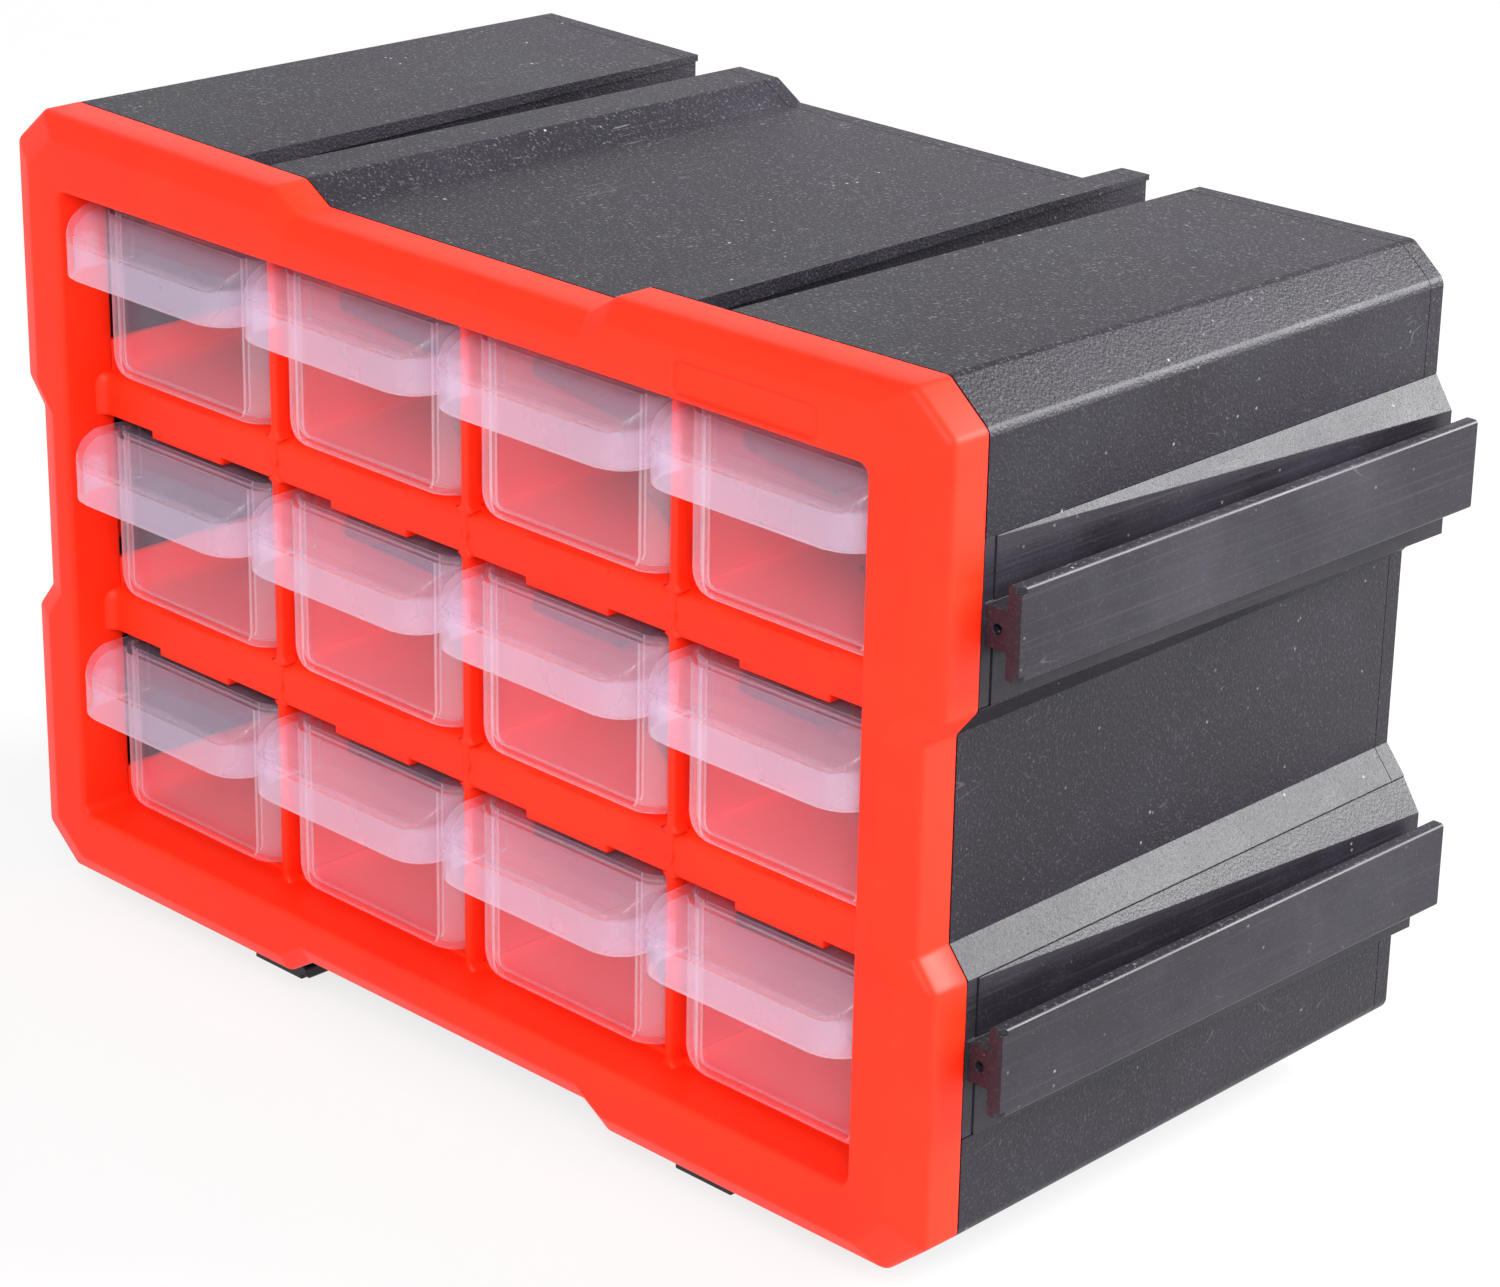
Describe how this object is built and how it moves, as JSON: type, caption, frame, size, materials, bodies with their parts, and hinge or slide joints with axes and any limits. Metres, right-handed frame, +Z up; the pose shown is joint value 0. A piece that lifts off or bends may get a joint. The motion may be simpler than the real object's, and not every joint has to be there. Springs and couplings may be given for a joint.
{
  "type": "parts bin cabinet",
  "caption": "Small parts cabinet: tapered black housing with a red front grid, rows of clear pull-out drawers, and T rails and slots for joining cabinets side by side or in a stack.",
  "frame": {"origin": "middle of the whole cabinet's footprint, level with the undersides of the foot rails", "axes": "+X to the right seen from the front, +Y from the front to the back, +Z up"},
  "size_m": [0.262, 0.1416, 0.1734],
  "materials": {
    "housing_black": "fine textured",
    "rail_black": "satin",
    "grid_red": "satin",
    "drawer_clear": "translucent"
  },
  "bodies": {
    "cabinet": {"housing": "housing_black", "front_frame": "grid_red", "divider_1": "grid_red", "divider_2": "grid_red", "divider_3": "grid_red", "shelf_1": "grid_red", "shelf_2": "grid_red", "shelf_3": "grid_red", "side_rail_upper": "rail_black", "side_rail_lower": "rail_black", "foot_rail_left": "rail_black", "foot_rail_right": "rail_black"},
    "drawer_r1c1_body": {"drawer_r1c1": "drawer_clear"},
    "drawer_r1c2_body": {"drawer_r1c2": "drawer_clear"},
    "drawer_r1c3_body": {"drawer_r1c3": "drawer_clear"},
    "drawer_r1c4_body": {"drawer_r1c4": "drawer_clear"},
    "drawer_r2c1_body": {"drawer_r2c1": "drawer_clear"},
    "drawer_r2c2_body": {"drawer_r2c2": "drawer_clear"},
    "drawer_r2c3_body": {"drawer_r2c3": "drawer_clear"},
    "drawer_r2c4_body": {"drawer_r2c4": "drawer_clear"},
    "drawer_r3c1_body": {"drawer_r3c1": "drawer_clear"},
    "drawer_r3c2_body": {"drawer_r3c2": "drawer_clear"},
    "drawer_r3c3_body": {"drawer_r3c3": "drawer_clear"},
    "drawer_r3c4_body": {"drawer_r3c4": "drawer_clear"}
  },
  "joints": [
    {"name": "drawer_r1c1_slide", "type": "slide", "parent": "cabinet", "child": "drawer_r1c1_body", "axis": [0, -1, 0], "range_m": [0, 0.1212]},
    {"name": "drawer_r1c2_slide", "type": "slide", "parent": "cabinet", "child": "drawer_r1c2_body", "axis": [0, -1, 0], "range_m": [0, 0.1212]},
    {"name": "drawer_r1c3_slide", "type": "slide", "parent": "cabinet", "child": "drawer_r1c3_body", "axis": [0, -1, 0], "range_m": [0, 0.1212]},
    {"name": "drawer_r1c4_slide", "type": "slide", "parent": "cabinet", "child": "drawer_r1c4_body", "axis": [0, -1, 0], "range_m": [0, 0.1212]},
    {"name": "drawer_r2c1_slide", "type": "slide", "parent": "cabinet", "child": "drawer_r2c1_body", "axis": [0, -1, 0], "range_m": [0, 0.1212]},
    {"name": "drawer_r2c2_slide", "type": "slide", "parent": "cabinet", "child": "drawer_r2c2_body", "axis": [0, -1, 0], "range_m": [0, 0.1212]},
    {"name": "drawer_r2c3_slide", "type": "slide", "parent": "cabinet", "child": "drawer_r2c3_body", "axis": [0, -1, 0], "range_m": [0, 0.1212]},
    {"name": "drawer_r2c4_slide", "type": "slide", "parent": "cabinet", "child": "drawer_r2c4_body", "axis": [0, -1, 0], "range_m": [0, 0.1212]},
    {"name": "drawer_r3c1_slide", "type": "slide", "parent": "cabinet", "child": "drawer_r3c1_body", "axis": [0, -1, 0], "range_m": [0, 0.1212]},
    {"name": "drawer_r3c2_slide", "type": "slide", "parent": "cabinet", "child": "drawer_r3c2_body", "axis": [0, -1, 0], "range_m": [0, 0.1212]},
    {"name": "drawer_r3c3_slide", "type": "slide", "parent": "cabinet", "child": "drawer_r3c3_body", "axis": [0, -1, 0], "range_m": [0, 0.1212]},
    {"name": "drawer_r3c4_slide", "type": "slide", "parent": "cabinet", "child": "drawer_r3c4_body", "axis": [0, -1, 0], "range_m": [0, 0.1212]}
  ]
}
